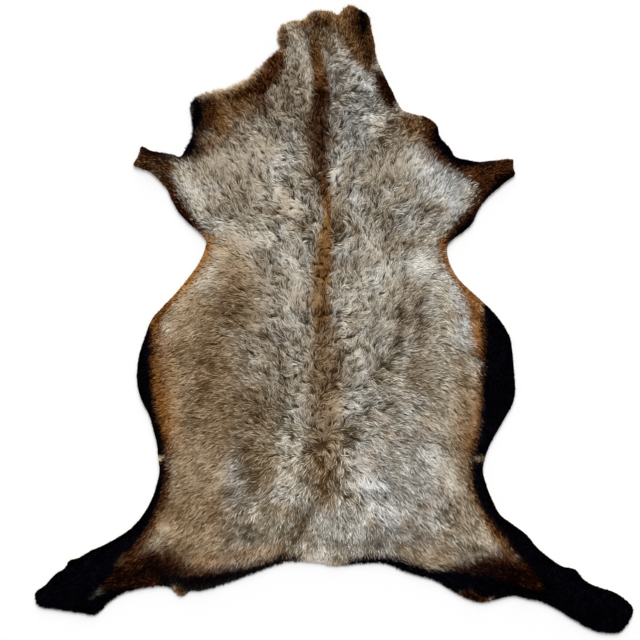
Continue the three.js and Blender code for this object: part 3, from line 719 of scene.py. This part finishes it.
def suedeMaterial():
    # tanned underside: pale, with a fine nap and darker clouds
    look = {"pale": (206, 186, 158), "dark": (168, 142, 110), "roughness": 0.95, "cloudSize": 9.0,
            "cloudDetail": 6.0, "napSize": 900.0, "napDepth": 0.35, "napHeight": 0.5 * mm}
    material, tree, shader = newMaterial("tannedSuede", look["roughness"])
    place = tree.nodes.new("ShaderNodeTexCoord")
    cloudy, nap = tree.nodes.new("ShaderNodeTexNoise"), tree.nodes.new("ShaderNodeTexNoise")
    cloudy.inputs["Scale"].default_value = look["cloudSize"]
    cloudy.inputs["Detail"].default_value = look["cloudDetail"]
    nap.inputs["Scale"].default_value = look["napSize"]
    bump = tree.nodes.new("ShaderNodeBump")
    bump.inputs["Strength"].default_value = look["napDepth"]
    bump.inputs["Distance"].default_value = look["napHeight"]
    for noise in (cloudy, nap):
        tree.links.new(place.outputs["Object"], noise.inputs["Vector"])
    mixed = mixColours(tree, colour(look["dark"]), colour(look["pale"]), cloudy.outputs["Fac"])
    tree.links.new(mixed, shader.inputs["Base Color"])
    tree.links.new(nap.outputs["Fac"], bump.inputs["Height"])
    tree.links.new(bump.outputs["Normal"], shader.inputs["Normal"])
    return material


suede = suedeMaterial()


def paint(mesh, x, y, tone):
    # the coat's tints at each vertex, and its tone
    count = len(mesh.vertices)
    for name, three in tintAttributes.items():
        values = np.ones((count, 4), np.float32)
        for k, tint in enumerate(three):
            values[:, k] = readMap(tintMaps[tint], x, y)
        mesh.attributes.new(name, "FLOAT_COLOR", "POINT").data.foreach_set("color", values.ravel())
    mesh.attributes.new("tone", "FLOAT", "POINT").data.foreach_set("value", tone.astype(np.float32))


def addObject(name, data):
    made = bpy.data.objects.new(name, data)
    bpy.context.collection.objects.link(made)
    return made


rowStep = 0.87  # from one row of places to the next, in spacings


def staggered(spacing, ends, sides):
    # rows of places across the hide, every other row half a step along
    x, y = np.meshgrid(np.arange(*ends, spacing), np.arange(*sides, spacing * rowStep))
    return x + (np.arange(len(x)) % 2)[:, None] * spacing / 2, y


skinLook = {  # one thin tanned hide, hair side up
    "thickness": 2.0,
    "spacing": 9.0,  # between the points of its mesh
    "edgeStep": 4.0,
    "edgeClear": 4.0,  # from the cut edge to the first of them
    "flatSize": (0.896, 0.945),  # metres
    "underfurShade": 0.22,  # times the tone of the coat above it: painted shade at the bottom of the coat
}


def makeSkin():
    outline = walkEdge(skinLook["edgeStep"])[0]
    x, y = staggered(skinLook["spacing"], (-450, 480), (-480, 480))
    inner = np.stack([x.ravel(), y.ravel()], 1)
    inner = inner[readMap(depthMap, inner[:, 0], inner[:, 1]) > skinLook["edgeClear"]]
    points = [Vector(p) for p in np.concatenate([outline, inner])]
    count = len(outline)
    edges = [(i, (i + 1) % count) for i in range(count)]
    places, newEdges, faces = delaunay_2d_cdt(points, edges, [], 1, 1e-4)[:3]
    bm = bmesh.new()
    corners = [bm.verts.new((p.x * mm, p.y * mm, 0)) for p in places]
    for face in faces:
        bm.faces.new([corners[i] for i in face])
    bmesh.ops.recalc_face_normals(bm, faces=bm.faces)
    if sum(f.normal.z for f in bm.faces) < 0:
        bmesh.ops.reverse_faces(bm, faces=bm.faces)
    for f in bm.faces:
        f.smooth = True
    upper = set(bm.verts)
    bmesh.ops.extrude_face_region(bm, geom=list(bm.faces), use_keep_orig=True)
    for v in bm.verts:
        x, y = np.array([v.co.x / mm]), np.array([v.co.y / mm])
        v.co.z = float(readMap(liftMap, x, y)[0]) * mm
        if v in upper:
            v.co.z += skinLook["thickness"] * mm
    for f in bm.faces:
        f.material_index = 0 if upper.issuperset(f.verts) else 1
    bmesh.ops.recalc_face_normals(bm, faces=bm.faces)
    mesh = bpy.data.meshes.new("skin")
    bm.to_mesh(mesh)
    bm.free()
    mesh.materials.append(underfurMaterial)
    mesh.materials.append(suede)
    place = np.array([v.co for v in mesh.vertices]) / mm
    x, y = place[:, 0], place[:, 1]
    # the skin's hair side takes the coat's colour, darkened with painted shade at the bottom of the coat
    paint(mesh, x, y, skinLook["underfurShade"] * (0.4 + readMap(toneMap, x, y)))
    return addObject("skin", mesh)


skin = makeSkin()
print("skin made:", len(skin.data.polygons), "faces")

# the hair: clumps of small locks of flat tapered hairs that lie along the hide
coat = {  # a pair is for sleek and for curly hair, unless its note says otherwise
    "lockSpacing": 3.15,  # between the roots of two locks
    "hairsInLock": 5,
    "clumpSpacing": 8.5,
    "clumpShape": 1.5,  # length of a clump over its width
    "clumpHalf": 0.55,  # from its crest to its border, in spacings
    "lengthSpread": (0.85, 1.15),  # shortest and longest lock
    "width": (1.0, 0.60),  # of the low hairs of a lock and of its high ones
    "taper": 0.85,  # width of a hair near its tip over its width near the root
    "rootSpread": 1.9,
    "gather": 0.35,  # how far the tips of a lock draw together
    "draw": (0.1, 0.3),  # how far locks lean to the middle of their clump
    "turn": (7.0, 24.0),  # degrees that a clump strays from the lie of the hair
    "lockTurn": 4.0,  # degrees that a lock strays from its clump
    "hairTurn": (5.0, 15.0),  # degrees that low and high hairs stray from their lock
    "bend": (6.0, 34.0),  # degrees that a clump turns along its length
    "hairBend": (6.0, 14.0),  # degrees that low and high hairs turn apart from it
    "tilt": 14.0,  # degrees that a flat hair rolls
    "rise": (0.8, 1.08),  # length and height of low and high hairs
    "lowClump": 0.74,  # height of the lowest clump over the highest
    "lowBorder": (0.04, 0.11),  # how much lower a clump is at its borders
    "contrast": (0.095, 0.185),  # how far clumps and locks differ in tone: sleek, wild
    "mixture": (0.6, 0.45, 0.8),  # shares of the clump, the painted light on its crest and painted shade at its borders, and the lock in that
    "rankLightAndShade": (-1.2, 1.4),  # painted shade on the low hairs and painted light on the high ones, in contrasts
    "speckle": (0.16, 0.28),  # how far single hairs differ in tone: sleek, wild
    "rankSpeckle": (0.85, 1.2),  # the same for low and high hairs
    "paintedFringeLight": 0.30,  # painted light: how much lighter the tips are past a furry edge
    "fringeStep": 1.3,  # between the extra locks along a furry edge
    "fringeFine": 0.55,  # their width over the other locks' width
    "furryReach": 3.2,  # an edge is furry where its hair reaches further than this
    "outwards": 2.2,  # how strongly the hair turns out over a furry edge
    "furryTips": (0.15, 1.3, 2.4),  # shares of the reach: the least, what luck adds, and how rarely
    "flatTips": (0.2, 0.35, 0.4),  # the same at other edges: the least, by clump, by luck
    "neckFine": 0.22,  # how much finer the hair is on the neck
    "stray": (2.5, 1.0),  # how far off a hair takes its tint: wild, sleek
    "farStray": 2.5,  # how many times further the furthest do
    "speckSkew": 0.3,  # makes light hairs rarer and lighter than dark ones are dark
}
profile = np.array([0.0, 0.74, 0.95, 1.0])  # height along a hair, as a share of the coat's
steps = np.array([0.0, 0.30, 0.66, 1.0])  # the same places, as shares of its length
shades = np.array([0.20, 0.72, 0.72, 0.97, 0.97, 1.10])  # tone at the six corners of a hair: dark at the root, partly the hair's own colour and partly painted shade deep in the coat
scatterFrom = (-450, -490)  # left and lower end of the rows of roots


def lieAt(x, y):
    # the lie of the hair, which turns outwards where it meets a furry edge
    dirX, dirY = readMap(swirlXMap, x, y), readMap(swirlYMap, x, y)
    nearEdge, furry = ease(-readMap(depthMap, x, y), -10, 0), np.clip(readMap(reachMap, x, y) / 4, 0.2, 1.0)
    outwards = coat["outwards"] * nearEdge * furry
    dirX = dirX + outwards * readMap(outXMap, x, y)
    dirY = dirY + outwards * readMap(outYMap, x, y)
    size = np.maximum(np.hypot(dirX, dirY), 1e-6)
    return dirX / size, dirY / size


def scatter(spacing, rng):
    # staggered rows of places, each a little off
    x, y = staggered(spacing, (scatterFrom[0], 482), (scatterFrom[1], 492))
    return x + rng.uniform(-0.42, 0.42, x.shape) * spacing, y + rng.uniform(-0.42, 0.42, x.shape) * spacing


def nearestClump(x, y, clumpX, clumpY):
    # the clump that each place belongs to: clumps are longer along the hair than across it
    spacing = coat["clumpSpacing"]
    rows, columns = clumpX.shape
    dirX, dirY = lieAt(clumpX, clumpY)
    row = np.round((y - scatterFrom[1]) / (spacing * rowStep)).astype(int)
    column = np.round((x - scatterFrom[0]) / spacing).astype(int)
    best, bestRow, bestColumn = np.full(x.shape, 1e9), np.zeros(x.shape, int), np.zeros(x.shape, int)
    for stepRow in range(-2, 3):
        for stepColumn in range(-2, 3):
            r, c = np.clip(row + stepRow, 0, rows - 1), np.clip(column + stepColumn, 0, columns - 1)
            dx, dy = x - clumpX[r, c], y - clumpY[r, c]
            along = dx * dirX[r, c] + dy * dirY[r, c]
            across = dx * dirY[r, c] - dy * dirX[r, c]
            away = (along / coat["clumpShape"]) ** 2 + across**2
            nearer = away < best
            best = np.where(nearer, away, best)
            bestRow, bestColumn = np.where(nearer, r, bestRow), np.where(nearer, c, bestColumn)
    return bestRow, bestColumn


def fringeRoots(rng):
    # extra locks just inside the furry stretches of the edge
    dense, reach = walkEdge(coat["fringeStep"])
    x, y = dense[reach > coat["furryReach"]].T
    inside = rng.uniform(1.0, 4.5, len(x))
    return x - readMap(outXMap, x, y) * inside, y - readMap(outYMap, x, y) * inside


def growCoat():
    rng = np.random.default_rng(41)
    clumpX, clumpY = scatter(coat["clumpSpacing"], rng)
    clumpTurn, clumpBend, clumpTone = rng.normal(size=(3, *clumpX.shape))
    clumpHigh = rng.uniform(0.0, 1.0, clumpX.shape)
    lockX, lockY = scatter(coat["lockSpacing"], rng)
    rootsFrom = 0.7  # in from the cut edge
    keep = readMap(depthMap, lockX, lockY) > rootsFrom
    lockX, lockY = lockX[keep], lockY[keep]
    fringeX, fringeY = fringeRoots(rng)
    fine = np.concatenate([np.ones(len(lockX)), np.full(len(fringeX), coat["fringeFine"])])
    lockX, lockY = np.concatenate([lockX, fringeX]), np.concatenate([lockY, fringeY])
    locks = len(lockX)
    mine = nearestClump(lockX, lockY, clumpX, clumpY)
    curl, reach = readMap(curlMap, lockX, lockY), readMap(reachMap, lockX, lockY)
    wild = np.maximum(curl, 0.8 * ease(lockY, 40, 130)) * (1 - readMap(sleekMap, lockX, lockY))
    dirX, dirY = lieAt(lockX, lockY)
    heading = np.arctan2(dirX, dirY)
    turn = np.radians(lerp(coat["turn"], curl)) * clumpTurn[mine]
    turn += np.radians(coat["lockTurn"]) * rng.normal(size=locks)
    bend = np.radians(lerp(coat["bend"], curl)) * clumpBend[mine]
    # place in the clump: its crest stands higher and gets painted light, its borders are low and get painted shade
    across = (lockX - clumpX[mine]) * np.cos(heading) - (lockY - clumpY[mine]) * np.sin(heading)
    crest = 1 - np.clip(np.abs(across) / (coat["clumpHalf"] * coat["clumpSpacing"]), 0, 1) ** 2
    contrast = lerp(coat["contrast"], wild)
    ofClump, ofPaintedCrestLight, ofLock = coat["mixture"]
    # a lock's tone: random for its clump and for itself, with painted light on the crest and painted shade at the
    # borders
    lockTone = contrast * (ofClump * clumpTone[mine] + ofPaintedCrestLight * (crest - 0.6) + ofLock * rng.normal(size=locks))
    lockHigh = lerp((coat["lowClump"], 1.0), clumpHigh[mine]) * (1 - lerp(coat["lowBorder"], curl) * (1 - crest))
    lockHigh *= rng.uniform(0.9, 1.0, locks)
    length = readMap(lengthMap, lockX, lockY) * rng.uniform(*coat["lengthSpread"], locks)
    draw = lerp(coat["draw"], curl) * across

    count = coat["hairsInLock"]
    total = locks * count

    def each(values):
        return np.repeat(values, count)

    # from the low, wide hairs of each lock, darkened with painted shade, to its high, fine ones, lightened with
    # painted light
    rank = np.tile(np.linspace(0, 1, count), locks)
    spread = coat["rootSpread"] * np.sqrt(rng.uniform(0, 1, total))
    around = rng.uniform(0, 2 * math.pi, total)
    offX, offY = spread * np.cos(around), spread * np.sin(around)
    sideX, sideY = np.cos(each(heading)), -np.sin(each(heading))
    hairTurn = each(turn) + rng.normal(size=total) * np.radians(lerp(coat["hairTurn"], rank))
    hairLength = each(length) * lerp(coat["rise"], rank) * rng.uniform(0.88, 1.06, total)
    hairBend = each(bend) + rng.normal(size=total) * np.radians(lerp(coat["hairBend"], rank))
    px, py = [each(lockX) + offX], [each(lockY) + offY]
    for k in range(3):
        share = steps[k + 1] - steps[k]
        dirX, dirY = lieAt(px[-1], py[-1])
        way = np.arctan2(dirX, dirY) + hairTurn + hairBend * ((steps[k] + steps[k + 1]) / 2 - 0.35)
        for at, go, off, side in ((px, np.sin(way), offX, sideX), (py, np.cos(way), offY, sideY)):
            at.append(at[-1] + hairLength * share * go - (off * coat["gather"] + side * each(draw)) * share)
    px, py = np.array(px), np.array(py)
    # a hair that would reach too far past the edge is shorter
    rootDepth, tipDepth = readMap(depthMap, px[0], py[0]), readMap(depthMap, px[3], py[3])
    luck = rng.uniform(0, 1, total)
    (least, byLuck, rarely), (low, byClump, byChance) = coat["furryTips"], coat["flatTips"]
    wispy, even = least + byLuck * luck**rarely, low + byClump * each(clumpHigh[mine]) + byChance * luck
    allowed = each(reach) * np.where(each(fine) < 1, wispy, even)
    over = tipDepth < -allowed
    shrink = np.where(over, (np.maximum(rootDepth, 0) + allowed) / np.maximum(rootDepth - tipDepth, 1e-3), 1.0)
    shortest = 0.12
    shrink = np.clip(shrink, shortest, 1.0)
    px, py = px[0] + (px - px[0]) * shrink, py[0] + (py - py[0]) * shrink
    # heights: up from the skin, along the coat, and down to the floor past the edge
    hairHigh = each(lockHigh) * lerp(coat["rise"], rank)
    pz = []
    for k in range(4):
        here = readMap(depthMap, px[k], py[k])
        ground = np.where(here > 0, readMap(liftMap, px[k], py[k]) + skinLook["thickness"],
                          np.maximum(0.5, skinLook["thickness"] + here * 0.5))
        stand = readMap(pileMap, px[k], py[k]) * ease(here, -6, 6) + 0.4
        pz.append(ground - (0.3 if k == 0 else 0) + stand * profile[k] * hairHigh)
    pz = np.array(pz)
    # flat ribbons: a pointed root, two wide places and a pointed tip
    finer = fine * (1 - coat["neckFine"] * ease(lockY, 230, 320))
    width = lerp(coat["width"], rank) * each(finer) * rng.uniform(0.85, 1.15, total)
    tilt = np.clip(np.radians(coat["tilt"]) * rng.normal(size=total), -0.6, 0.6)
    aboveFloor = 0.3
    corners = np.zeros((total, 6, 3))
    corners[:, 0] = np.stack([px[0], py[0], pz[0]], 1)
    corners[:, 5] = np.stack([px[3], py[3], pz[3]], 1)
    for k, share in ((1, 1.0), (2, coat["taper"])):
        alongX, alongY = px[k + 1] - px[k - 1], py[k + 1] - py[k - 1]
        size = np.maximum(np.hypot(alongX, alongY), 1e-6)
        half = width * share / 2
        for s, corner in ((1, 2 * k - 1), (-1, 2 * k)):
            corners[:, corner, 0] = px[k] - s * half * alongY / size * np.cos(tilt)
            corners[:, corner, 1] = py[k] + s * half * alongX / size * np.cos(tilt)
            corners[:, corner, 2] = np.maximum(pz[k] + s * half * np.sin(tilt), aboveFloor)
    # tone: dark at the root and lighter towards the tip, partly the hair's own colour and partly painted shade deep
    # in the coat; low hairs get painted shade and high ones painted light, beside random light and dark hairs
    flow = readMap(toneMap, px[2], py[2]) + each(lockTone) + each(contrast) * lerp(coat["rankLightAndShade"], rank)
    speck = rng.normal(size=total)
    speck += coat["speckSkew"] * (speck**2 - 1)
    flow += speck * each(lerp(coat["speckle"], wild)) * lerp(coat["rankSpeckle"], rank)
    tone = flow[:, None] * shades[None, :]
    # painted light on the tips of the hair past a furry edge
    tone[:, 3:] += (coat["paintedFringeLight"] * ease(-tipDepth, 0, 5) * np.clip(each(reach) / 5 - 0.4, 0, 1))[:, None]
    tone = np.clip(tone, 0.0, 1.0)
    # each hair takes its tint from a place nearby
    stray = each(lerp(coat["stray"], readMap(sleekMap, lockX, lockY)))
    stray *= 1 + coat["farStray"] * rng.uniform(0, 1, total) ** 4
    tintAt = np.stack([px[2] + rng.normal(size=total) * stray, py[2] + rng.normal(size=total) * stray], 1)
    keep = (rootDepth > 0.3) & (shrink > shortest + 0.01)
    return corners[keep], tone[keep], tintAt[keep]


def hairPiece(name, corners, tone, tintAt):
    # one joined mesh, with a place of its own for each hair on the piece's map
    rowHeight = 6.0
    order = np.lexsort((corners[:, 0, 0], np.floor(corners[:, 0, 1] / rowHeight)))
    corners, tone, tintAt = corners[order], tone[order], tintAt[order]
    count, perHair = corners.shape[:2]
    base = np.arange(count)[:, None] * perHair
    loops = np.concatenate([base + [0, 2, 1], base + [1, 2, 4, 3], base + [3, 4, 5]], 1).ravel()
    sizes = np.tile([3, 4, 3], count)
    starts = np.concatenate([[0], np.cumsum(sizes)[:-1]])
    mesh = bpy.data.meshes.new(name)
    mesh.vertices.add(count * perHair)
    mesh.vertices.foreach_set("co", (corners * mm).astype(np.float32).ravel())
    mesh.loops.add(len(loops))
    mesh.loops.foreach_set("vertex_index", loops.astype(np.int32))
    mesh.polygons.add(len(sizes))
    mesh.polygons.foreach_set("loop_start", starts.astype(np.int32))
    mesh.polygons.foreach_set("use_smooth", np.ones(len(sizes), bool))
    side = math.ceil(math.sqrt(count))
    cellX, cellY = np.arange(count) % side, np.arange(count) // side
    inCell = np.array([(0.5, 0.08), (0.14, 0.36), (0.86, 0.36), (0.22, 0.66), (0.78, 0.66), (0.5, 0.94)])
    uv = (np.stack([cellX, cellY], 1)[:, None, :] + inCell[None]) / side
    layer = mesh.uv_layers.new(name="OFBake")
    layer.data.foreach_set("uv", uv.reshape(-1, 2)[loops].astype(np.float32).ravel())
    mesh.update(calc_edges=True)
    paint(mesh, *np.repeat(tintAt, perHair, 0).T, tone.ravel())
    mesh.materials.append(hairMaterial)
    return addObject(name, mesh)


corners, tone, tintAt = growCoat()
print("hairs grown:", len(corners))
bands = ["neckHair", "shoulderHair", "backHair", "loinHair", "rumpHair"]
rootY = corners[:, 0, 1]
cuts = np.quantile(rootY, np.linspace(1, 0, len(bands) + 1))
hairPieces = []
for i, name in enumerate(bands):
    inBand = (rootY <= cuts[i]) & (rootY > cuts[i + 1] if i < len(bands) - 1 else rootY >= cuts[i + 1])
    hairPieces.append(hairPiece(name, corners[inBand], tone[inBand], tintAt[inBand]))
    print(name, "has", int(inBand.sum()), "hairs")

for piece in [skin] + hairPieces:
    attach(piece, "root")
    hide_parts("hide")

room = {  # floor, light and camera, in metres and degrees
    "floorSize": 6.0,
    "floorTone": 0.865,
    "floorRoughness": 0.9,
    "sky": 0.58,
    "keyPower": 4.40,
    "keySoftness": 40.0,
    "keyPlace": (0.1, 2.0, 0.90),
    "viewHeight": 3.2,
    "viewWidth": 0.96,
    "viewAside": -7.5 * mm,  # puts the hide where the photo has it
}


def makeRoom():
    bm = bmesh.new()
    bmesh.ops.create_grid(bm, x_segments=1, y_segments=1, size=room["floorSize"])
    mesh = bpy.data.meshes.new("floor")
    bm.to_mesh(mesh)
    bm.free()
    paper, tree, shader = newMaterial("paperFloor", room["floorRoughness"])
    shader.inputs["Base Color"].default_value = (room["floorTone"],) * 3 + (1.0,)
    mesh.materials.append(paper)
    floor = addObject("floor", mesh)
    world = bpy.data.worlds.new("studio")
    world.use_nodes = True
    sky = world.node_tree.nodes["Background"]
    sky.inputs["Color"].default_value = (1.0, 1.0, 1.0, 1.0)
    sky.inputs["Strength"].default_value = room["sky"]
    bpy.context.scene.world = world
    lamp = bpy.data.lights.new("softKey", "SUN")
    lamp.energy = room["keyPower"]
    lamp.angle = math.radians(room["keySoftness"])
    key = addObject("softKey", lamp)
    key.location = room["keyPlace"]
    key.rotation_euler = (-key.location).to_track_quat("-Z", "Y").to_euler()
    view = bpy.data.cameras.new("camera")
    view.sensor_width = 36.0
    view.lens = view.sensor_width * room["viewHeight"] / room["viewWidth"]
    camera = addObject("camera", view)
    camera.location = (room["viewAside"], 0.0, room["viewHeight"])
    bpy.context.scene.camera = camera
    bpy.context.scene.view_settings.view_transform = "Standard"


makeRoom()
print("room ready")
